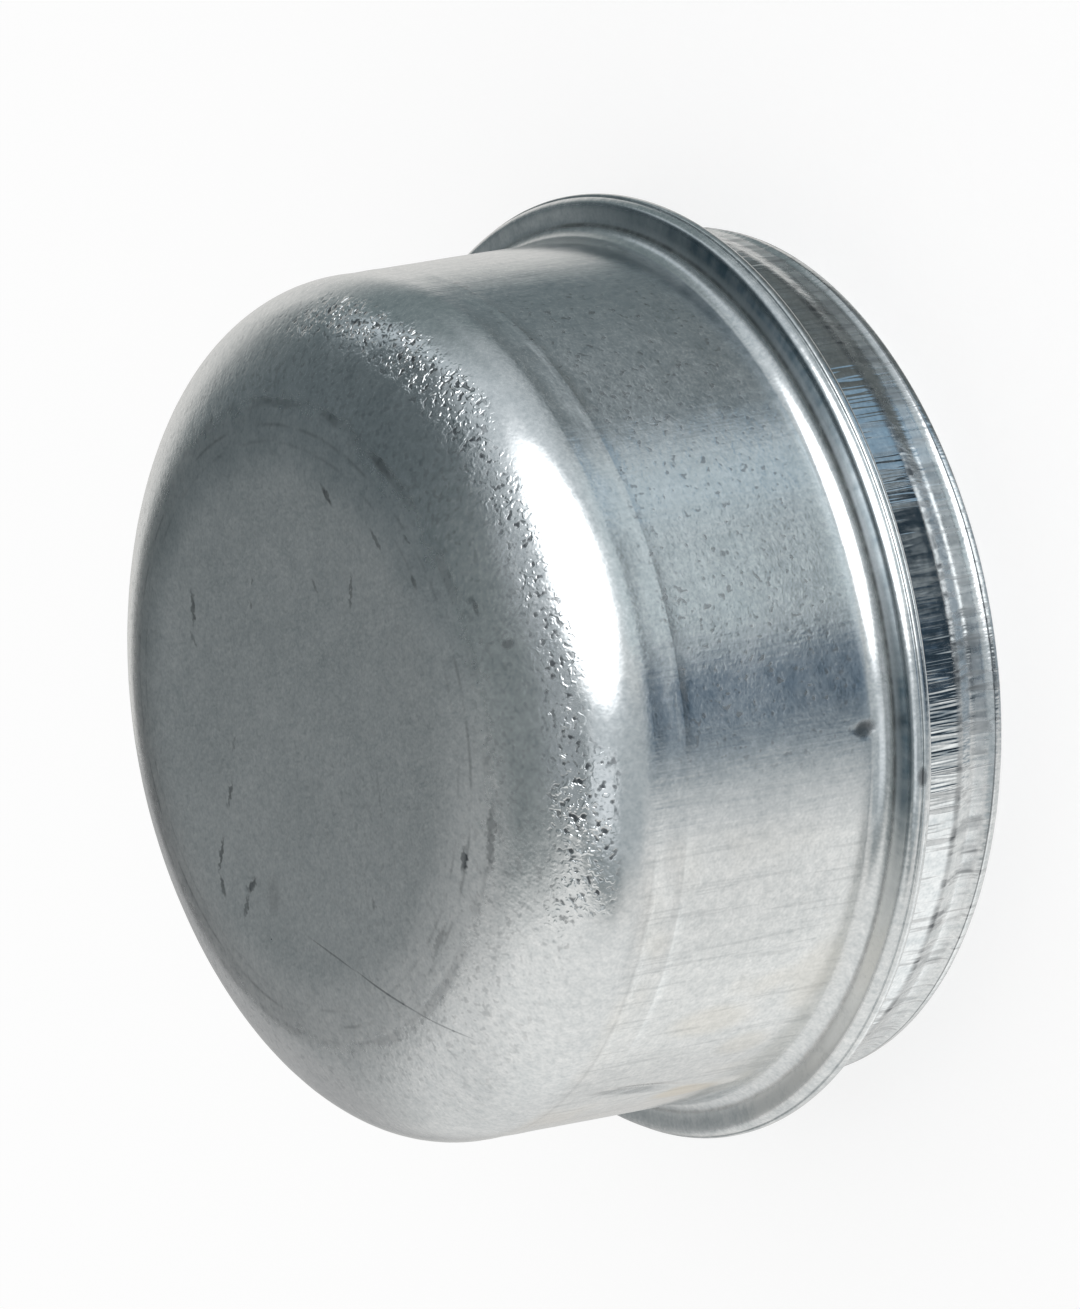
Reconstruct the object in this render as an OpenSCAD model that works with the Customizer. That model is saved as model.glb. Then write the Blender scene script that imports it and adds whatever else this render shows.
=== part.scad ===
// Grease cap for a wheel hub: one piece of zinc plated steel sheet, deep drawn to a cup.
// The nose points up the Z axis and the open rim lies on z = 0.
// The flange is the sheet folded back on itself, and the skirt below it presses into the hub.
// All sizes are in millimetres.

/* [Sheet] */
// Thickness of the sheet
sheet_t = 0.63; // [0.45:0.01:0.8]
// Space left between the two layers of the folded flange
fold_gap = 0.05; // [0.04:0.01:0.1]

/* [Press fit] */
// Diameter of the band that grips the hub's bore
press_d = 50.3; // [44:0.1:66]
// Height of the skirt, from the open rim to the flange
skirt_h = 6.8; // [5.2:0.1:10]
// Height of the lip along the open rim, where the blank was trimmed
lip_h = 1; // [0.8:0.05:1.2]
// Height of the smooth pilot band above the lip
pilot_h = 1.05; // [0.6:0.05:1.5]
// Height of the taper between the pilot band and the press band
taper_h = 1.1; // [0.8:0.05:1.6]
// How far the pilot band lies inside the press band
pilot_in = 0.35; // [0.2:0.01:0.5]
// How far the lip stands out from the pilot band
lip_out = 0.13; // [0.05:0.01:0.18]

/* [Flange] */
// How far the flange stands out from the press band
flange_out = 2.35; // [2:0.05:5]
// How much smaller the front layer of the fold is, on its radius
layer_step = 0.15; // [0.08:0.01:0.2]
// Fillet between the wall and the front of the flange
root_r = 1.18; // [0.6:0.02:1.5]
// Bend between the back of the flange and the press band
seat_r = 0.4; // [0.2:0.02:0.8]

/* [Nose] */
// Height of the nose, from the front of the flange to its flat face
nose_h = 22.7; // [19:0.1:45]
// How far the wall's foot lies inside the press band
wall_in = 0.1; // [0:0.01:0.5]
// Draft of the wall
draft = 1; // [0:0.1:2]
// Radius of the knuckle between the wall and the crown
knuckle_r = 5.2; // [3:0.1:6]
// Radius of the crown between the knuckle and the flat face
crown_r = 13.6; // [9:0.1:16]
// Fall of the surface where the knuckle meets the crown, in degrees from level
shoulder_fall = 41.3; // [35:0.1:48]

/* [Sizing band] */
// Width of the shallow waist that the die leaves round the top of the wall
band_w = 2.05; // [1:0.05:3]
// Depth of the sizing band, near its foot
band_depth = 0.03; // [0.01:0.01:0.06]

/* [Hidden] */

zinc = [0.66, 0.70, 0.72];
sag = 0.003;     // how far a round stretch of the outline may lie off its true arc
merge = 0.001;   // points closer than this are one point
$fn = 180;

// Radii
press_r = press_d / 2;
pilot_r = press_r - pilot_in;
lip_r = pilot_r + lip_out;
flange_r = press_r + flange_out;
wall_foot_r = press_r - wall_in;

// Heights
fold_t = 2 * sheet_t + fold_gap;
flange_back = skirt_h;
flange_mid = flange_back + fold_t / 2;
flange_front = flange_back + fold_t;
top = flange_front + nose_h;
pilot_top = lip_h + pilot_h;
press_foot = pilot_top + taper_h;

// Radii of the bends
fold_r = fold_t / 2;
front_round = 0.9 * sheet_t;
back_round = 0.57 * sheet_t;
crease_round = 0.8 * layer_step;
taper_round = 2;
lip_round = 0.25;
lip_root_round = 1;
rim_round = 0.15;
root_fit = min(root_r, flange_out + wall_in - sheet_t - fold_gap);

// The lip: a short flare, a narrow crest, and a bevel down to the rim
lip_flare_h = 0.32;
lip_crest_h = 0.12;
lip_bevel = 0.1;

// Lines of the nose: the drafted wall, the shoulder and the flat face
function wall_at(z) = wall_foot_r - tan(draft) * (z - flange_front);
crown_tangent = crown_r * tan(shoulder_fall / 2);
knuckle_tangent = knuckle_r * tan((90 - draft - shoulder_fall) / 2);
shoulder_len = crown_tangent + knuckle_tangent;
shoulder_z = top - shoulder_len * sin(shoulder_fall);
shoulder_r = wall_at(shoulder_z);
crown_corner_r = shoulder_r - shoulder_len * cos(shoulder_fall);

// The sizing band starts just below the knuckle, deepens slowly and ends in a short ramp
band_top = shoulder_z - knuckle_tangent * cos(draft) - 0.1;
band_foot = band_top - band_w;
band_ramp = 0.45;
band_round = 1.5;

// A corner of an outline is [radius, height, bend radius]
function flat(c) = [c[0], c[1]];
function unit(v) = v / norm(v);
function backwards(list) = [for (i = [len(list) - 1 : -1 : 0]) list[i]];

// The arc that rounds one corner, between the corner before it and the corner after it
function bend(before, at, after) =
    at[2] == 0 ? [flat(at)] :
    let (
        to_before = unit(flat(before) - flat(at)),
        to_after = unit(flat(after) - flat(at)),
        half = acos(to_before * to_after) / 2,
        centre = flat(at) + unit(to_before + to_after) * at[2] / sin(half),
        start = flat(at) + to_before * at[2] / tan(half) - centre,
        end = flat(at) + to_after * at[2] / tan(half) - centre,
        a = atan2(start[1], start[0]),
        sweep = (atan2(end[1], end[0]) - a + 540) % 360 - 180,
        steps = max(2, ceil(abs(sweep) / (2 * acos(1 - sag / at[2]))))
    )
    [for (i = [0 : steps])
        centre + at[2] * [cos(a + sweep * i / steps), sin(a + sweep * i / steps)]];

// The closed outline with every corner rounded, and no point twice
function rounded(corners) =
    let (
        n = len(corners),
        points = [for (i = [0 : n - 1])
            each bend(corners[(i + n - 1) % n], corners[i], corners[(i + 1) % n])]
    )
    [for (i = [0 : len(points) - 1])
        if (norm(points[i] - points[(i + len(points) - 1) % len(points)]) > merge) points[i]];

// The other side of a sheet of thickness t, to the right of a path of corners
function right_of(direction) = [direction[1], -direction[0]];
function inner_corner(before, at, after, t) =
    let (
        u = unit(flat(at) - flat(before)),
        v = unit(flat(after) - flat(at)),
        n = right_of(u),
        m = right_of(v),
        place = flat(at) + t * (n + m) / (1 + n * m),
        outside_of_bend = u[0] * v[1] - u[1] * v[0] < 0
    )
    [place[0], place[1], outside_of_bend ? at[2] - t : at[2] + t];
function inner_side(path, t) =
    let (last = len(path) - 1)
    concat(
        [[path[0][0], path[0][1] - t, 0]],
        [for (i = [1 : last - 1]) inner_corner(path[i - 1], path[i], path[i + 1], t)],
        [[path[last][0] - t, path[last][1], rim_round]]
    );

// Pieces of the outline, from the middle of the face out and down to the rim
function nose_corners() = [
    [0, top, 0],
    [crown_corner_r, top, crown_r],
    [shoulder_r, shoulder_z, knuckle_r],
];
function root_corner() = [[wall_foot_r, flange_front, root_fit]];
function skirt_corners() = [
    [press_r, flange_back, seat_r],
    [press_r, press_foot, taper_round],
    [pilot_r, pilot_top, taper_round],
];

// The fold as the sheet bends, and as the dies leave its edge: two rounded layers and a crease
function fold_corners() = [
    [flange_r, flange_front, fold_r],
    [flange_r, flange_back, fold_r],
];
function pressed_fold_corners() = [
    [flange_r - layer_step, flange_front, front_round],
    [flange_r - layer_step, flange_mid, 0],
    [flange_r, flange_mid, crease_round],
    [flange_r, flange_back, back_round],
];
function band_corners() = [
    [wall_at(band_top), band_top, band_round],
    [wall_at(band_foot + band_ramp) - band_depth, band_foot + band_ramp, band_round],
    [wall_at(band_foot), band_foot, band_round],
];
function lip_corners() = [
    [pilot_r, lip_h, lip_root_round],
    [lip_r, lip_h - lip_flare_h, lip_round],
    [lip_r, lip_h - lip_flare_h - lip_crest_h, 0],
    [lip_r - lip_bevel, 0, rim_round],
];

function outer_corners() = concat(
    nose_corners(), band_corners(), root_corner(), pressed_fold_corners(),
    skirt_corners(), lip_corners()
);
function sheet_path() = concat(
    nose_corners(), root_corner(), fold_corners(), skirt_corners(), [[pilot_r, 0, 0]]
);

module grease_cap() {
    color(zinc)
        rotate_extrude()
            polygon(rounded(concat(outer_corners(), backwards(inner_side(sheet_path(), sheet_t)))));
}

grease_cap();
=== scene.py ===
# The looks of a hub grease cap: one drawn and pressed piece of zinc plated steel sheet.
# The cap's surface is revolved from the section of the frame's own solid, with the small relief
# that drawing, pressing and handling leave. Lengths are in millimetres unless a name says metres.

import math

import bpy
import numpy as np
from mathutils import Matrix, Vector


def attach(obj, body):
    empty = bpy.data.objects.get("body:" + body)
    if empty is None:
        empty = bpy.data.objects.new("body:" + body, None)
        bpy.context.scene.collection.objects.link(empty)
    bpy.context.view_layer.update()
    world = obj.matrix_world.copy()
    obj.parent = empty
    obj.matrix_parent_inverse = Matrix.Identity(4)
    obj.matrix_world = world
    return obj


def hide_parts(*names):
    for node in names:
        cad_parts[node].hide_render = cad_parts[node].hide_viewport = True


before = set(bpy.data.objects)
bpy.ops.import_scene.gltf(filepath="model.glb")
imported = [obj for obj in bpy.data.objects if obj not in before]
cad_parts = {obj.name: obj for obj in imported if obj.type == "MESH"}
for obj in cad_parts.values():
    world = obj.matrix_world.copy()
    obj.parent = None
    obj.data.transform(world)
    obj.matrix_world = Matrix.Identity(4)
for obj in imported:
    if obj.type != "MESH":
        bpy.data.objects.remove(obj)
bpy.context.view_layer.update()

MM = 0.001
NODE = "grease_cap"
SLOT = "zinc_plated_steel"

# Camera, as the photograph's: the flange's middle and the cap's axis are placed in the picture
LENS = 212.4
SENSOR = 36.0
FLANGE_MIDDLE_Z = 7.7
DISTANCE = 445.5
MIDDLE_RIGHT = 5.28
MIDDLE_DOWN = 0.85
AXIS_LEFT = 0.8235
AXIS_DOWN = 0.1408

# Mesh of the cap
COLUMNS = 345
SEAM_TOLERANCE = 0.001
SMOOTH_TURN = math.radians(25)
ROW_STEP = 0.42
FINE_ROW_STEP = 0.17
INSIDE_ROW_STEP = 3.0
FINE_ROWS_Z = (8.7, 10.7)

# Marks on the cap: places as (degrees round from the camera's side towards +X, height or radius)
NICK_ANGLE = -12.3
NICK_Z = (8.75, 10.5)
NICK_HALF_WIDTH = 1.5
NICK_DEPTH = 0.14
NICK_DEEPEST = 0.35
NICK_LEAN = 0.25
DENT_ANGLE = -69.0
DENT_Z = (12.6, 22.4)
DENT_HALF_WIDTH = 1.6
DENT_DEPTH = 0.17
DENT_LEAN = 2.4
DENT_BEND = 2.0
BULGE_ANGLE = -73.0
BULGE_Z = 10.6
BULGE_HALF_SIZES = (2.3, 1.3)
BULGE_HEIGHT = 0.11
WAIST_FOOT_Z = 21.9
RIM_OUT_OF_TRUE = 0.12
LIP_WAVE = 0.04
LIP_DROP = 0.10

# Heights of the sheet's unevenness: fine peel, slow sway, the face's dish, the skirt's ripple, wear
PEEL = 0.0016
SWAY = 0.010
FACE_DISH = 0.018
RIPPLE = 0.004
WEAR = 0.026


# Numbers worked out by nodes

class Wire:
    """A number that nodes work out. Sums, products and the calls below add the nodes they need."""

    def __init__(self, tree, socket):
        self.tree = tree
        self.socket = socket

    def work(self, operation, *others):
        node = self.tree.nodes.new("ShaderNodeMath")
        node.operation = operation
        for slot, value in zip(node.inputs, (self, *others)):
            plug(self.tree, value, slot)
        return Wire(self.tree, node.outputs[0])

    def __add__(self, other):
        return self.work("ADD", other)

    def __radd__(self, other):
        return self.work("ADD", other)

    def __sub__(self, other):
        return self.work("SUBTRACT", other)

    def __mul__(self, other):
        return self.work("MULTIPLY", other)

    def __truediv__(self, other):
        return self.work("DIVIDE", other)

    def ramp(self, low, high, start, end):
        """The start below low, the end above high, and a smooth step between them."""
        node = self.tree.nodes.new("ShaderNodeMapRange")
        node.interpolation_type = "SMOOTHSTEP"
        names = ("Value", "From Min", "From Max", "To Min", "To Max")
        for name, value in zip(names, (self, low, high, start, end)):
            plug(self.tree, value, node.inputs[name])
        return Wire(self.tree, node.outputs["Result"])

    def rise(self, low, high):
        """0 below low, 1 above high, and a smooth step between them."""
        return self.ramp(low, high, 0.0, 1.0)

    def fall(self, low, high):
        """1 below low, 0 above high, and a smooth step between them."""
        return self.ramp(low, high, 1.0, 0.0)

    def within(self, low, high, soft):
        """1 between low and high, and 0 outside, over a soft edge."""
        return self.rise(low - soft, low + soft) * self.fall(high - soft, high + soft)


def plug(tree, value, slot):
    """Links a wire to a socket, or sets the socket to a plain value."""
    if isinstance(value, Wire):
        tree.links.new(value.socket, slot)
    else:
        slot.default_value = value


def split(tree, vector):
    node = tree.nodes.new("ShaderNodeSeparateXYZ")
    tree.links.new(vector, node.inputs[0])
    return [Wire(tree, socket) for socket in node.outputs]


def join(tree, x, y, z):
    node = tree.nodes.new("ShaderNodeCombineXYZ")
    for value, slot in zip((x, y, z), node.inputs):
        plug(tree, value, slot)
    return node.outputs[0]


def noise(tree, vector, scale, detail=2.0, roughness=0.5):
    """Smooth noise from 0 to 1. Its scale is in features for each unit, one or one an axis."""
    node = tree.nodes.new("ShaderNodeTexNoise")
    if isinstance(scale, tuple):
        node.texture_mapping.scale = scale
        scale = 1.0
    tree.links.new(vector, node.inputs["Vector"])
    node.inputs["Scale"].default_value = scale
    node.inputs["Detail"].default_value = detail
    node.inputs["Roughness"].default_value = roughness
    return Wire(tree, node.outputs["Fac"])


def centred_sum(base, *terms):
    """The base plus each noise, from -0.5 to 0.5, times its weight."""
    total = base - 0.5 * sum(weight for _, weight in terms)
    for wire, weight in terms:
        total = wire.work("MULTIPLY_ADD", weight, total)
    return total


def mix(tree, share, first, second):
    """A colour from the first to the second as the share goes from 0 to 1, and no further."""
    node = tree.nodes.new("ShaderNodeMix")
    node.data_type = "RGBA"
    plug(tree, share, node.inputs[0])
    for value, slot in ((first, node.inputs[6]), (second, node.inputs[7])):
        if isinstance(value, tuple):
            slot.default_value = (*value, 1.0)
        else:
            tree.links.new(value, slot)
    return node.outputs[2]


# The section of the cap, read from the frame

def seam_outline(node):
    """Points (radius, height) of the section: out from the face's middle, down, and back up inside."""
    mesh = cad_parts[node].data
    on_seam = {}
    for vertex in mesh.vertices:
        x, y, z = vertex.co / MM
        if abs(y) < SEAM_TOLERANCE and x > 0:
            on_seam[vertex.index] = (round(x, 4), round(z, 4))
    beside = {}
    for edge in mesh.edges:
        a, b = (on_seam.get(i) for i in edge.vertices)
        if a and b and a != b:
            beside.setdefault(a, set()).add(b)
            beside.setdefault(b, set()).add(a)
    start = max((p for p in beside if len(beside[p]) == 1), key=lambda p: p[1])
    path = [start]
    before = None
    while True:
        after = [p for p in beside[path[-1]] if p != before]
        if not after:
            break
        before = path[-1]
        path.append(after[0])
    outside_middle = (0.0, path[0][1])
    inside_middle = (0.0, path[-1][1])
    return np.array([outside_middle, *path, inside_middle])


def tangents(points):
    """The outline's direction before and after each point; they differ at a true corner."""
    steps = np.diff(points, axis=0)
    lengths = np.hypot(*steps.T)
    along = steps / lengths[:, None]
    before = np.vstack([along[:1], along])
    after = np.vstack([along, along[-1:]])
    for i in range(1, len(points) - 1):
        a, b = along[i - 1], along[i]
        turn = math.atan2(a[0] * b[1] - a[1] * b[0], a @ b)
        if abs(turn) > SMOOTH_TURN:
            continue
        long, short = max(lengths[i - 1], lengths[i]), min(lengths[i - 1], lengths[i])
        if long > 1.6 * short:
            shared = a if lengths[i - 1] > lengths[i] else b
        else:
            shared = a + b
        before[i] = after[i] = shared / np.hypot(*shared)
    return before, after


def row_step(point, inside):
    if inside:
        return INSIDE_ROW_STEP
    fine = FINE_ROWS_Z[0] < point[1] < FINE_ROWS_Z[1]
    return FINE_ROW_STEP if fine else ROW_STEP


def section_rows(points):
    """The outline, long stretches divided along a smooth curve, with each row's outward normal."""
    before, after = tangents(points)
    rim = int(np.argmin(points[:, 1] - 1e-4 * points[:, 0]))
    rows, normals, inside = [], [], []
    for i in range(len(points) - 1):
        p, q = points[i], points[i + 1]
        length = np.hypot(*(q - p))
        middle = (p + q) / 2
        count = max(1, math.ceil(length / row_step(middle, i >= rim) - 0.2))
        for k in range(count):
            t = k / count
            slope = (
                (6 * t * t - 6 * t) * (p - q) / length
                + (3 * t * t - 4 * t + 1) * after[i]
                + (3 * t * t - 2 * t) * before[i + 1]
            )
            place = (
                (2 * t ** 3 - 3 * t ** 2 + 1) * p
                + (t ** 3 - 2 * t ** 2 + t) * length * after[i]
                + (3 * t ** 2 - 2 * t ** 3) * q
                + (t ** 3 - t ** 2) * length * before[i + 1]
            )
            if k == 0:
                slope = before[i] + after[i]
            rows.append(place)
            normals.append(np.array([-slope[1], slope[0]]) / np.hypot(*slope))
            inside.append(i >= rim)
    rows.append(points[-1])
    normals.append(np.array([0.0, -1.0]))
    inside.append(True)
    return np.array(rows), np.array(normals), np.array(inside)


# Relief of the outer surface

def hump(distance):
    """A smooth hump: 1 in the middle, and 0 from a distance of 1."""
    inside = np.clip(1 - distance ** 2, 0, None)
    return inside ** 2


def waves(points, shortest, longest, count, seed):
    """Gentle seeded unevenness in all directions, of about unit height."""
    random = np.random.default_rng(seed)
    total = np.zeros(points.shape[:-1])
    for _ in range(count):
        direction = random.normal(size=3)
        direction /= np.linalg.norm(direction)
        length = random.uniform(shortest, longest)
        phase = random.uniform(0, 2 * math.pi)
        total += np.sin(points @ direction * (2 * math.pi / length) + phase)
    return total / math.sqrt(count / 2)


def column_angles():
    """Angles of the mesh's columns: even all round, and closer through the nick and the dent."""
    fine = np.linspace(-math.pi, math.pi, 20001)
    degrees = np.degrees(fine)
    density = 1 + 2.5 * hump((degrees - NICK_ANGLE) / 4) + 1.2 * hump((degrees - DENT_ANGLE) / 8)
    share = np.cumsum(density)
    share = (share - share[0]) / (share[-1] - share[0])
    return np.interp(np.arange(COLUMNS) / COLUMNS, share, fine)


def nick(degrees, z):
    """A struck mark at the wall's foot, a narrow diamond with its deepest point low down."""
    low, high = NICK_Z
    deepest = low + NICK_DEEPEST * (high - low)
    along = np.where(z > deepest, (z - deepest) / (high - deepest), (deepest - z) / (deepest - low))
    across = np.abs(degrees - NICK_ANGLE - NICK_LEAN * (z - deepest)) / NICK_HALF_WIDTH
    return NICK_DEPTH * np.clip(1 - along - across, 0, None)


def dent(degrees, z):
    """A long shallow dent up the wall, bent towards its lower end."""
    low, high = DENT_Z
    along = (z - (low + high) / 2) / ((high - low) / 2)
    centre = DENT_ANGLE + DENT_LEAN * along - DENT_BEND * np.clip(-along, 0, None) ** 2
    across = (degrees - centre) / DENT_HALF_WIDTH
    return DENT_DEPTH * hump(across) * hump(along * 0.95)


def bulge(degrees, z):
    """The metal that the dent pushed out, just below it."""
    wide, high = BULGE_HALF_SIZES
    return BULGE_HEIGHT * hump((degrees - BULGE_ANGLE) / wide) * hump((z - BULGE_Z) / high)


def relief(angle, radius, z):
    """How far the outer surface stands out from its true form, in the direction of its normal."""
    degrees = np.degrees(angle)
    points = np.stack([radius * np.sin(angle), -radius * np.cos(angle), z], axis=-1)
    on_nose = np.clip((z - 9.0) / 1.5, 0, 1)
    on_face = np.clip((z - 29.6) / 1.0, 0, 1)
    peel = PEEL * waves(points, 1.3, 2.6, 40, seed=3)
    sway = SWAY * waves(points, 9, 22, 12, seed=5) - FACE_DISH * on_face
    on_skirt = np.clip((6.4 - z) / 0.6, 0, 1)
    ripple = RIPPLE * waves(points * np.array([1, 1, 0.15]), 2.2, 6, 30, seed=11)
    uneven = 1 + 0.35 * waves(points * np.array([1, 1, 0]), 0.8, 4, 30, seed=8)
    worn = WEAR * uneven * hump((z - WAIST_FOOT_Z) / 0.8)
    sheet = on_nose * (peel + sway) + worn + on_skirt * ripple
    return sheet - nick(degrees, z) - dent(degrees, z) + bulge(degrees, z)


def rim_shift(angle, z):
    """The trimmed rim stands a little to one side."""
    return -RIM_OUT_OF_TRUE * np.sin(angle) * np.clip((1.5 - z) / 1.2, 0, 1)


def lip_wave(angle, z):
    """The lip's line lies a little low, and wanders up and down."""
    ring = np.stack([np.sin(angle), -np.cos(angle), np.zeros_like(angle)], axis=-1) * 25
    return (LIP_WAVE * waves(ring, 7, 30, 12, seed=21) - LIP_DROP) * hump((z - 0.8) / 0.7)


def make_cap():
    """The cap's surface: the section's rows, revolved, with its relief, closed at both middles."""
    rows, normals, inside = section_rows(seam_outline(NODE))
    angle = column_angles()
    middle_rows = (0, len(rows) - 1)
    body = [k for k in range(len(rows)) if k not in middle_rows]
    radius = np.repeat(rows[body, 0][:, None], COLUMNS, axis=1)
    z = np.repeat(rows[body, 1][:, None], COLUMNS, axis=1)
    turn = np.repeat(angle[None, :], len(body), axis=0)
    outside = np.where(inside[body], 0.0, 1.0)[:, None]
    stand = outside * relief(turn, radius, z)
    shift = outside * rim_shift(turn, z)
    lift = outside * lip_wave(turn, z)
    radius = radius + stand * normals[body, 0][:, None] + shift
    z = z + stand * normals[body, 1][:, None] + lift
    ring = np.stack([radius * np.sin(turn), -radius * np.cos(turn), z], axis=-1).reshape(-1, 3)
    ends = np.array([[0, 0, rows[0, 1]], [0, 0, rows[-1, 1]]])
    vertices = np.vstack([ring, ends]) * MM

    faces = []
    for k in range(len(body) - 1):
        for c in range(COLUMNS):
            d = (c + 1) % COLUMNS
            upper, lower = k * COLUMNS, (k + 1) * COLUMNS
            faces.append((upper + c, lower + c, lower + d, upper + d))
    top, bottom = len(ring), len(ring) + 1
    last = (len(body) - 1) * COLUMNS
    for c in range(COLUMNS):
        d = (c + 1) % COLUMNS
        faces.append((top, c, d))
        faces.append((bottom, last + d, last + c))

    mesh = bpy.data.meshes.new("pressed_cap")
    mesh.from_pydata(vertices.tolist(), [], faces)
    mesh.polygons.foreach_set("use_smooth", [True] * len(faces))
    mark_corners(mesh, rows, body)
    mesh.update()
    cap = bpy.data.objects.new("pressed_cap", mesh)
    bpy.context.scene.collection.objects.link(cap)
    return cap


def mark_corners(mesh, rows, body):
    """Marks the rings where the section has a true corner as sharp edges."""
    steps = np.diff(rows, axis=0)
    heading = np.unwrap(np.arctan2(steps[:, 1], steps[:, 0]))
    turns = np.abs(np.diff(heading))
    sharp_rows = {body.index(k + 1) for k in np.nonzero(turns > SMOOTH_TURN)[0] if k + 1 in body}
    sharp = mesh.attributes.new("sharp_edge", "BOOLEAN", "EDGE")
    for edge in mesh.edges:
        a, b = edge.vertices
        same_row = a // COLUMNS == b // COLUMNS
        sharp.data[edge.index].value = same_row and a // COLUMNS in sharp_rows


# Material

BUMP_DEPTH = 0.010
OVAL_CORE = 0.45
OVAL_REACH = 1.15
DULL_ZINC = (0.53, 0.565, 0.58)
BRIGHT_ZINC = (0.86, 0.87, 0.87)
WARM_STAIN = (0.72, 0.67, 0.58)
SHADED_ZINC = (0.11, 0.165, 0.20)
DARK_DIRT_AND_SHADE = (0.12, 0.13, 0.14)
WHITE = (1.0, 1.0, 1.0)
FACE_EDGE_TINT = (0.15, 0.15, 0.15)

# Scuffs on the flat face, as the middle (x, y), half length, half width, turn in degrees and strength
SCUFFS = (
    (12.4, -7.4, 0.85, 0.22, 213, 0.60),
    (9.4, -11.6, 0.90, 0.16, 212, 0.45),
    (9.1, -14.3, 0.35, 0.12, 225, 0.40),
    (6.8, -14.5, 0.50, 0.22, 210, 0.45),
    (6.9, -8.2, 1.25, 0.17, 159, 0.42),
    (7.6, -4.6, 0.50, 0.13, 200, 0.32),
    (8.5, 1.9, 0.25, 0.20, 150, 0.40),
    (7.3, 2.5, 0.25, 0.16, 150, 0.35),
    (7.6, 8.8, 1.20, 0.20, 166, 0.52),
    (5.9, 9.3, 0.60, 0.14, 202, 0.30),
    (-0.3, 6.8, 0.70, 0.15, 144, 0.26),
    (-3.2, 8.2, 0.90, 0.20, 147, 0.48),
    (-6.5, 10.3, 1.25, 0.20, 150, 0.55),
    (-8.3, 10.7, 0.75, 0.20, 188, 0.50),
    (-8.4, 7.5, 0.80, 0.28, 122, 0.62),
    (-9.6, 8.5, 0.90, 0.18, 142, 0.45),
    (-9.2, 5.4, 1.30, 0.75, 156, 0.16),
    (-8.6, -14.6, 0.85, 0.26, 153, 0.60),
    (-7.6, -16.9, 2.30, 0.30, 158, 0.42),
    (-12.9, -10.7, 1.50, 0.32, 135, 0.30),
    (-10.4, -5.1, 0.40, 0.25, 180, 0.25),
    (13.4, -12.4, 1.30, 0.30, 223, 0.30),
    (16.5, -8.1, 1.00, 0.30, 234, 0.30),
    (18.0, -3.2, 2.20, 0.26, 258, 0.26),
    (4.9, -18.7, 0.70, 0.20, 192, 0.40),
    (-4.6, -7.6, 1.90, 0.12, 173, 0.14),
)
SCRATCHES = (
    (-12.9, 0.1, 2.7, 0.07, 243, 0.45),
    (-15.4, -4.6, 3.2, 0.08, 240, 0.60),
    (-17.6, -8.3, 2.2, 0.07, 240, 0.45),
)
# Faint worn rings on the face, as the radius, half width and strength
RINGS = (
    (16.15, 0.07, 0.26),
    (17.10, 0.08, 0.38),
    (18.30, 0.30, 0.22),
)
# Marks round the side and the dent's painted reflection, as the degrees, height, half sizes of both, a
# turn if any, and strength
SIDE_MARKS_AND_DENT_REFLECTION = (
    (-12.2, 9.60, 1.25, 0.80, 0.82),
    # Painted reflection: the dark streak along the dent
    (-69.2, 18.6, 4.30, 0.75, 58, 0.42),
    (-18.0, 7.50, 1.20, 0.30, 0.70),
    (7.2, 29.10, 0.90, 0.22, 0.55),
)
STAINS = (
    (-73.5, 13.8, 2.4, 2.4, 0.90),
    (-53.0, 16.5, 3.5, 3.2, 0.30),
    (-60.0, 13.0, 3.0, 2.0, 0.25),
)


def oval(tree, vector, middle, half_sizes, turn, strength):
    """A soft oval mark: its strength in the middle, and 0 outside."""
    node = tree.nodes.new("ShaderNodeTexGradient")
    node.gradient_type = "SPHERICAL"
    place = node.texture_mapping
    place.vector_type = "TEXTURE"
    place.mapping_z = "NONE"
    place.translation = (*middle, 0)
    place.rotation = (0, 0, math.radians(turn))
    place.scale = (half_sizes[0] * OVAL_REACH, half_sizes[1] * OVAL_REACH, 1)
    tree.links.new(vector, node.inputs["Vector"])
    inward = Wire(tree, node.outputs["Fac"])
    return inward.ramp(0.0, 1 - OVAL_CORE / OVAL_REACH, 0.0, strength)


def all_ovals(tree, vector, marks):
    """The sum of ovals given as (across, up, half size, half size, a turn if any, strength)."""
    total = 0.0
    for *place, strength in marks:
        across, up, half_across, half_up, *turn = place
        one = oval(tree, vector, (across, up), (half_across, half_up), sum(turn), strength)
        total = one + total
    return total


def cap_point(tree):
    """The place on the cap in millimetres, with its radius and its turn from the camera's side."""
    place = tree.nodes.new("ShaderNodeTexCoord").outputs["Object"]
    scale = tree.nodes.new("ShaderNodeVectorMath")
    scale.operation = "SCALE"
    tree.links.new(place, scale.inputs[0])
    scale.inputs["Scale"].default_value = 1 / MM
    point = scale.outputs[0]
    x, y, z = split(tree, point)
    radius = (x * x + y * y).work("SQRT")
    degrees = x.work("ARCTAN2", y * -1.0) * math.degrees(1)
    return point, x, y, z, radius, degrees


def bumped(tree, height, depth, normal=None):
    """The normal over a relief of a given height and depth, both worked out by nodes."""
    node = tree.nodes.new("ShaderNodeBump")
    plug(tree, height, node.inputs["Height"])
    plug(tree, depth * (BUMP_DEPTH * MM), node.inputs["Distance"])
    if normal is not None:
        tree.links.new(normal, node.inputs["Normal"])
    return node.outputs["Normal"]


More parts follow.
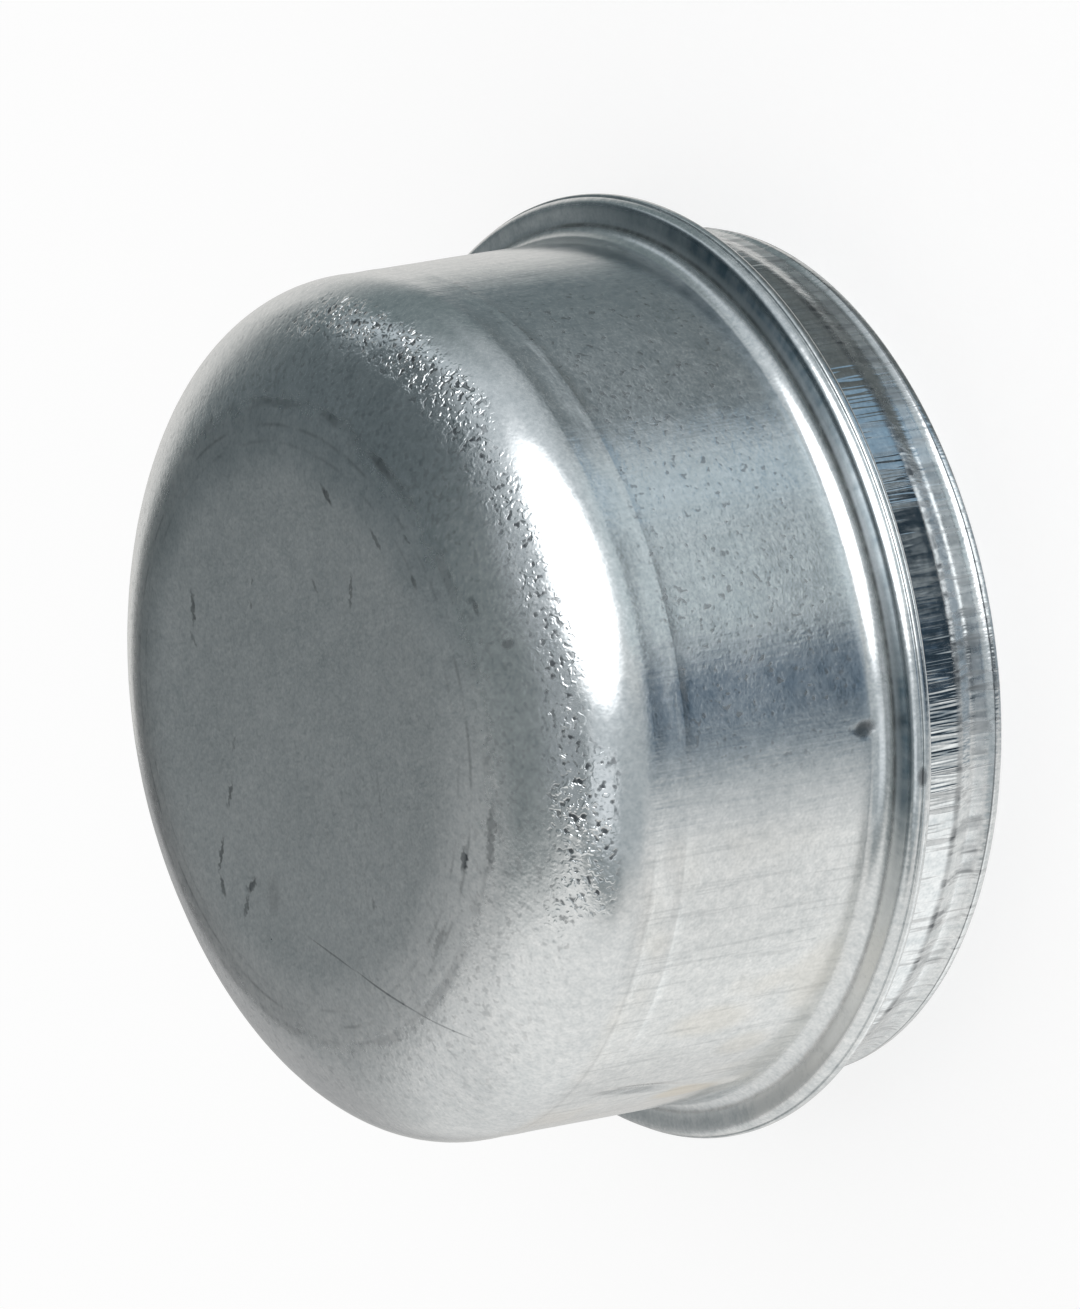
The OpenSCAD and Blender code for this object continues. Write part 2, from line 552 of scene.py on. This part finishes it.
def zinc_plated_steel():
    """Bright zinc plate over drawn steel: grained on the nose, smoother where the die dragged."""
    material = bpy.data.materials.new(SLOT)
    material.use_nodes = True
    tree = material.node_tree
    shader = tree.nodes["Principled BSDF"]
    shader.inputs["Metallic"].default_value = 1.0
    point, x, y, z, radius, degrees = cap_point(tree)

    # Where each part of the surface is
    outside = radius.rise(24.70, 24.74) + z.rise(23.0, 23.2)
    skirt = z.fall(6.6, 6.9)
    press_band = z.within(3.3, 6.6, 0.2)
    pilot = z.within(1.15, 1.85, 0.15)
    ring = z.rise(7.7, 8.05) * radius.within(25.85, 27.0, 0.18)
    shaded = z.rise(7.7, 8.0) * radius.within(25.72, 27.15, 0.12) * degrees.rise(-50, -14)
    shaded = shaded * degrees.fall(68, 92) * (0.65 + radius.rise(26.0, 26.5) * 0.45)
    deep_shade = degrees.within(-24, -5, 5) + degrees.within(27, 62, 6)
    flange = z.within(6.9, 8.5, 0.2) * radius.rise(25.7, 25.9)
    wall = z.within(9.0, 24.0, 0.6)
    front = degrees.within(-34, 84, 8)
    stretched = z.within(27.0, 28.3, 0.6) * (0.15 + front * 0.85)
    left_patch = z.within(25.7, 28.1, 0.5) * degrees.within(-31, -9, 3)
    right_patch = z.within(26.4, 28.0, 0.5) * degrees.within(38, 80, 5)
    sparkle = left_patch.work("MAXIMUM", right_patch)
    stretched = stretched.work("MAXIMUM", sparkle)
    left_strip = degrees.within(-26, -3, 5)
    crown = z.within(28.6, 30.2, 0.5)
    worked = z.within(10.0, 22.0, 2.0) * degrees.within(-14, 60, 8)
    face = z.rise(29.6, 30.6)
    left_side = degrees.within(-80, -24, 4)

    # Grain, clouds and streaks
    cloud = noise(tree, point, 0.13, detail=2.0)
    patch = noise(tree, point, 0.45, detail=2.0, roughness=0.6)
    blotch = noise(tree, point, 1.3, detail=2.0, roughness=0.7)
    grain = noise(tree, point, 2.6, detail=1.0, roughness=0.6)
    fine = noise(tree, point, 6.0, detail=0.0)
    pocks = noise(tree, point, 2.3, detail=1.0, roughness=0.6)
    pits = pocks.rise(0.55, 0.68)
    nubs = pocks.fall(0.30, 0.44)
    specks = pocks.rise(0.63, 0.72)
    drag = noise(tree, point, (1.7, 1.7, 0.09), detail=2.0, roughness=0.75)
    strokes = noise(tree, point, (1.1, 1.1, 0.16), detail=2.0, roughness=0.6)
    round_axis = join(tree, degrees, radius, 0.0)
    spokes = noise(tree, round_axis, (0.4, 0.2, 1.0), detail=2.0, roughness=0.7)
    dashes = noise(tree, round_axis, (0.11, 0.8, 1.0), detail=2.0).rise(0.42, 0.62)
    groove = drag.rise(0.55, 0.64)

    # Dirt, marks and painted shade
    wander = tree.nodes.new("ShaderNodeVectorMath")
    wander.operation = "ADD"
    tree.links.new(point, wander.inputs[0])
    tree.links.new(join(tree, (blotch - 0.5) * 0.7, (grain - 0.5) * 0.6, 0.0), wander.inputs[1])
    top = z.rise(28.6, 28.9)
    scuffs = all_ovals(tree, wander.outputs[0], SCUFFS) * top * (0.75 + grain * 0.9)
    scratches = all_ovals(tree, point, SCRATCHES) * top
    round_side = join(tree, degrees + (blotch - 0.5) * 0.8, z, 0.0)
    # Marks round the side, and the dent's dark streak, a painted reflection
    struck = all_ovals(tree, round_side, SIDE_MARKS_AND_DENT_REFLECTION)
    stains = all_ovals(tree, round_side, STAINS)
    rings = 0.0
    for ring_radius, half_width, strength in RINGS:
        band = radius.within(ring_radius - half_width, ring_radius + half_width, 0.12)
        rings = band * strength + rings
    rings = rings * z.rise(28.4, 28.8) * dashes
    # Partly dirt and partly painted shade: a dark warm line in the crease at the wall's foot, stronger
    # on the camera's side
    foot_line = radius.within(25.70, 25.90, 0.10) * z.within(7.9, 8.5, 0.1)
    foot_line = foot_line * (0.45 + spokes.rise(0.35, 0.60) * 0.55)
    foot_line = foot_line * degrees.within(-24, 90, 6).work("MAXIMUM", 0.35)
    lip_line = z.within(0.50, 0.58, 0.03) * radius.rise(24.72, 24.74)
    seam = z.within(23.40, 23.62, 0.12) * left_side * 0.16
    # The dark share holds real dirt and marks, and also painted shade and a painted reflection
    dirt_and_painted_shade = rings + scuffs + scratches + struck + foot_line * 0.75 + lip_line * 0.7 + seam
    dirt_and_painted_shade = dirt_and_painted_shade + pits * (stretched * 0.60 + face * 0.08 + crown * 0.20 + left_side * 0.04)
    dirt_and_painted_shade = dirt_and_painted_shade + specks * (worked * 0.50 + stretched * 0.40)
    band_foot = z.within(21.1, 21.7, 0.12) * degrees.within(-8, 70, 6)
    dirt_and_painted_shade = dirt_and_painted_shade + grain.rise(0.54, 0.66) * band_foot * 0.30
    dirt_and_painted_shade = dirt_and_painted_shade + groove * skirt * 0.35 + drag.fall(0.36, 0.44) * wall * left_side * 0.12
    dirt_and_painted_shade = dirt_and_painted_shade + strokes.rise(0.50, 0.62) * z.within(1.0, 3.1, 0.2) * 0.35
    # Painted shade: a darker band round the top edge of the taper, broken by streaks
    dirt_and_painted_shade = dirt_and_painted_shade + z.within(2.95, 3.40, 0.15) * (0.25 + strokes.rise(0.44, 0.56) * 0.30)
    warm = (cloud.rise(0.46, 0.60) * 0.25 + 0.07) * wall * left_side + stains
    warm = warm + foot_line * 0.5 + ring * left_side * 0.15

    shade = centred_sum(0.58, (cloud, 0.36), (patch, 0.36), (blotch, 0.60))
    shade = centred_sum(shade, (grain, 0.45), (fine, 0.45))
    # Painted light: the flange ring's left side is made lighter
    shade = shade + (drag - 0.5) * (wall * 0.45 + skirt * 1.3) + ring * left_side * 0.50
    shade = shade + (spokes - 0.5) * flange * 1.1
    shadow = shaded * (deep_shade * 0.24 + centred_sum(0.54, (spokes, 0.8), (blotch, 0.4)))
    colour = mix(tree, shade, DULL_ZINC, BRIGHT_ZINC)
    colour = mix(tree, warm, colour, WARM_STAIN)
    colour = mix(tree, shadow, colour, SHADED_ZINC)
    colour = mix(tree, dirt_and_painted_shade, colour, DARK_DIRT_AND_SHADE)
    tree.links.new(colour, shader.inputs["Base Color"])

    rough = centred_sum(0.20, (cloud, 0.10), (patch, 0.10), (blotch, 0.08))
    rough = rough + face * 0.12 + ring * 0.12 + pilot * 0.09 + dirt_and_painted_shade * 0.15 - sparkle * 0.07
    rough = rough - press_band * 0.12 + (drag - 0.5) * skirt * 0.20
    plug(tree, rough.work("MAXIMUM", 0.06), shader.inputs["Roughness"])

    # Relief too fine for the mesh, each kind only as deep as its part of the surface has it
    mottle = outside * (0.22 + stretched * 0.35 + crown * 0.55 + face * 0.5 - skirt * 0.21)
    uneven = 0.30 + patch.rise(0.44, 0.60) * 0.95
    pocked = (stretched * 2.0 + left_patch * 2.0 + right_patch * 5.5) * uneven + worked * 0.20
    ribbed = outside * (skirt * 5.0 + press_band * (3.0 + left_strip * 7.0) + wall * 1.3)
    normal = bumped(tree, centred_sum(0.0, (grain, 1.4), (fine, 0.6), (blotch, 0.8)), mottle)
    normal = bumped(tree, nubs - pits, pocked, normal)
    normal = bumped(tree, drag - groove * 0.12, ribbed, normal)
    normal = bumped(tree, spokes, flange * 3.0, normal)
    tree.links.new(normal, shader.inputs["Normal"])

    # The face's film dulls it at a grazing angle
    film = mix(tree, z.rise(29.7, 30.5), WHITE, FACE_EDGE_TINT)
    tree.links.new(film, shader.inputs["Specular Tint"])
    return material


# Light: soft cards and tables all round, painted on the world by direction

BACKDROP = (0.97, 0.97, 0.97)
SOFT_FILL = (0.75, 0.75, 0.75)
STUDIO_BACK = (0.212, 0.240, 0.244)
CARDS = (
    # what it is, azimuth from the camera's side towards +X and its soft edge, elevation likewise,
    # colour; a later card covers the ones before it
    ("low table all round", (-400, 400, 10), (-200, 2, 10), (0.74, 0.73, 0.71)),
    ("dim table behind", (-400, -150, 8), (-28, 14, 12), (0.42, 0.42, 0.42)),
    ("grey over the window", (-56, 78, 14), (56, 76, 8), (0.38, 0.41, 0.43)),
    ("dark corner to the right", (78, 178, 14), (12, 66, 12), (0.120, 0.145, 0.155)),
    ("dim wall behind to the left", (-178, -126, 9), (10, 70, 12), (0.38, 0.39, 0.39)),
    ("light wall far to the left", (-148, -98, 10), (-200, 54, 14), (0.77, 0.77, 0.76)),
    ("light wall to the left", (-122, -59, 8), (-200, 60, 11), (0.90, 0.90, 0.885)),
    ("grey left of the window", (-50, -2, 8), (-48, 50, 12), (0.47, 0.51, 0.53)),
    ("glint beside it", (-42, -18, 7), (16, 46, 8), (0.85, 0.89, 0.92)),
    ("grey to the right", (58, 136, 13), (-48, 20, 12), (0.190, 0.232, 0.240)),
    ("thin light over it", (86, 128, 8), (14, 25, 5), (0.60, 0.66, 0.70)),
    ("bench end to the right", (58, 100, 14), (-30.5, -10, 3), (0.46, 0.50, 0.52)),
    ("dark right low", (60, 131, 7), (-60, -31.2, 1.5), (0.160, 0.195, 0.210)),
    ("brown strip to the right", (64, 126, 2), (-80, -34.8, 1.2), (0.135, 0.15, 0.15)),
    ("blue grey at the front left", (-34, -18, 8), (-60, -24, 4), (0.26, 0.31, 0.345)),
    ("light wall's foot", (-76, -37, 17), (-60, -18, 4), (0.78, 0.78, 0.77)),
    ("bright table edge to the left", (-124, -49, 6), (-45, -34.8, 0.5), (1.16, 1.17, 1.16)),
    ("teal strip at the front", (-20, 5, 8), (-60, -29, 4), (0.095, 0.165, 0.250)),
    ("lit ground below the window", (3, 54, 8), (-34.6, -14, 0.6), (0.63, 0.72, 0.75)),
    ("dark ground at the front", (-23, 39, 2), (-62, -34.8, 0.6), (0.026, 0.042, 0.058)),
    ("blue strip beside it", (39, 66, 1), (-62, -34.8, 0.6), (0.26, 0.38, 0.49)),
    ("bright strip low in front", (-6, 50, 9), (-60, -47, 3), (1.75, 1.82, 1.84)),
    ("dark ground low in front", (-60, 60, 5), (-90, -63, 3), (0.26, 0.32, 0.37)),
)
# Soft ovals over the cards, as the middle, half sizes, soft share of the half and colour
OVALS = (
    ((42, 20), (56, 45), 0.30, (0.60, 0.65, 0.68)),
    ((28, 22), (34, 33), 0.17, (2.9, 2.92, 2.95)),
)
FLOOR_HALF_SIZE = 6.0
FLOOR_TONE = (0.35, 0.35, 0.35, 1)
FLOOR_GLOW = 0.72


def light_all_round():
    """The studio: cards that only the metal mirrors, and a plain one for the camera and the floor."""
    world = bpy.data.worlds.new("studio")
    world.cycles.sampling_method = "NONE"
    bpy.context.scene.world = world
    world.use_nodes = True
    tree = world.node_tree
    background = tree.nodes["Background"]
    direction = tree.nodes.new("ShaderNodeTexCoord").outputs["Generated"]
    x, y, z = split(tree, direction)
    azimuth = x.work("ARCTAN2", y * -1.0) * math.degrees(1)
    elevation = z.work("ARCSINE") * math.degrees(1)
    colour = STUDIO_BACK
    for _, across, up, tone in CARDS:
        mask = azimuth.within(*across) * elevation.within(*up)
        colour = mix(tree, mask, colour, tone)
    for middle, half, soft, tone in OVALS:
        aside = (azimuth - middle[0]) / half[0]
        above = (elevation - middle[1]) / half[1]
        oval = (aside * aside + above * above).work("SQRT").fall(1 - soft, 1 + soft)
        colour = mix(tree, oval, colour, tone)
    tree.links.new(colour, background.inputs["Color"])

    path = tree.nodes.new("ShaderNodeLightPath")
    plain = tree.nodes.new("ShaderNodeBackground")
    camera_ray = Wire(tree, path.outputs["Is Camera Ray"])
    plain_colour = mix(tree, camera_ray, SOFT_FILL, BACKDROP)
    tree.links.new(plain_colour, plain.inputs["Color"])
    chosen = tree.nodes.new("ShaderNodeMixShader")
    mirrored = Wire(tree, path.outputs["Is Glossy Ray"])
    plug(tree, mirrored, chosen.inputs[0])
    tree.links.new(plain.outputs[0], chosen.inputs[1])
    tree.links.new(background.outputs[0], chosen.inputs[2])
    tree.links.new(chosen.outputs[0], tree.nodes["World Output"].inputs["Surface"])


def pale_floor():
    """A plain pale floor under the rim, which the metal doesn't mirror."""
    size = FLOOR_HALF_SIZE
    mesh = bpy.data.meshes.new("floor")
    corners = [(-size, -size, 0), (size, -size, 0), (size, size, 0), (-size, size, 0)]
    mesh.from_pydata(corners, [], [(0, 1, 2, 3)])
    floor = bpy.data.objects.new("floor", mesh)
    bpy.context.scene.collection.objects.link(floor)
    floor.visible_glossy = False
    material = bpy.data.materials.new("pale_floor")
    material.cycles.emission_sampling = "NONE"
    material.use_nodes = True
    shader = material.node_tree.nodes["Principled BSDF"]
    shader.inputs["Base Color"].default_value = FLOOR_TONE
    shader.inputs["Roughness"].default_value = 1.0
    shader.inputs["Specular IOR Level"].default_value = 0.0
    shader.inputs["Emission Color"].default_value = (1, 1, 1, 1)
    shader.inputs["Emission Strength"].default_value = FLOOR_GLOW
    floor.data.materials.append(material)


def photo_camera():
    """The photograph's camera: its tilt and roll come from how the cap's axis lies in the picture."""
    data = bpy.data.cameras.new("camera")
    data.lens = LENS
    data.sensor_width = SENSOR
    data.clip_start = 0.01
    data.clip_end = 20.0
    camera = bpy.data.objects.new("camera", data)
    bpy.context.scene.collection.objects.link(camera)
    towards_camera = math.sqrt(1 - AXIS_LEFT ** 2 - AXIS_DOWN ** 2)
    z_seen = Vector((-AXIS_LEFT, -AXIS_DOWN, towards_camera))
    away = Vector((0, 0, -1))
    y_seen = (away - z_seen * away.dot(z_seen)).normalized()
    x_seen = y_seen.cross(z_seen)
    turn = Matrix((x_seen, y_seen, z_seen))
    offset = Vector((MIDDLE_RIGHT, -MIDDLE_DOWN, -DISTANCE))
    place = Vector((0, 0, FLANGE_MIDDLE_Z)) - turn @ offset
    camera.matrix_world = Matrix.Translation(place * MM) @ turn.to_4x4()
    bpy.context.scene.camera = camera


def plain_colours():
    """Shows the render's colours as they are."""
    view = bpy.context.scene.view_settings
    view.view_transform = "Standard"
    view.look = "None"
    view.exposure = 0.0
    view.gamma = 1.0


cap = make_cap()
cap.data.materials.append(zinc_plated_steel())
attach(cap, "root")
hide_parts(NODE)
light_all_round()
pale_floor()
photo_camera()
plain_colours()
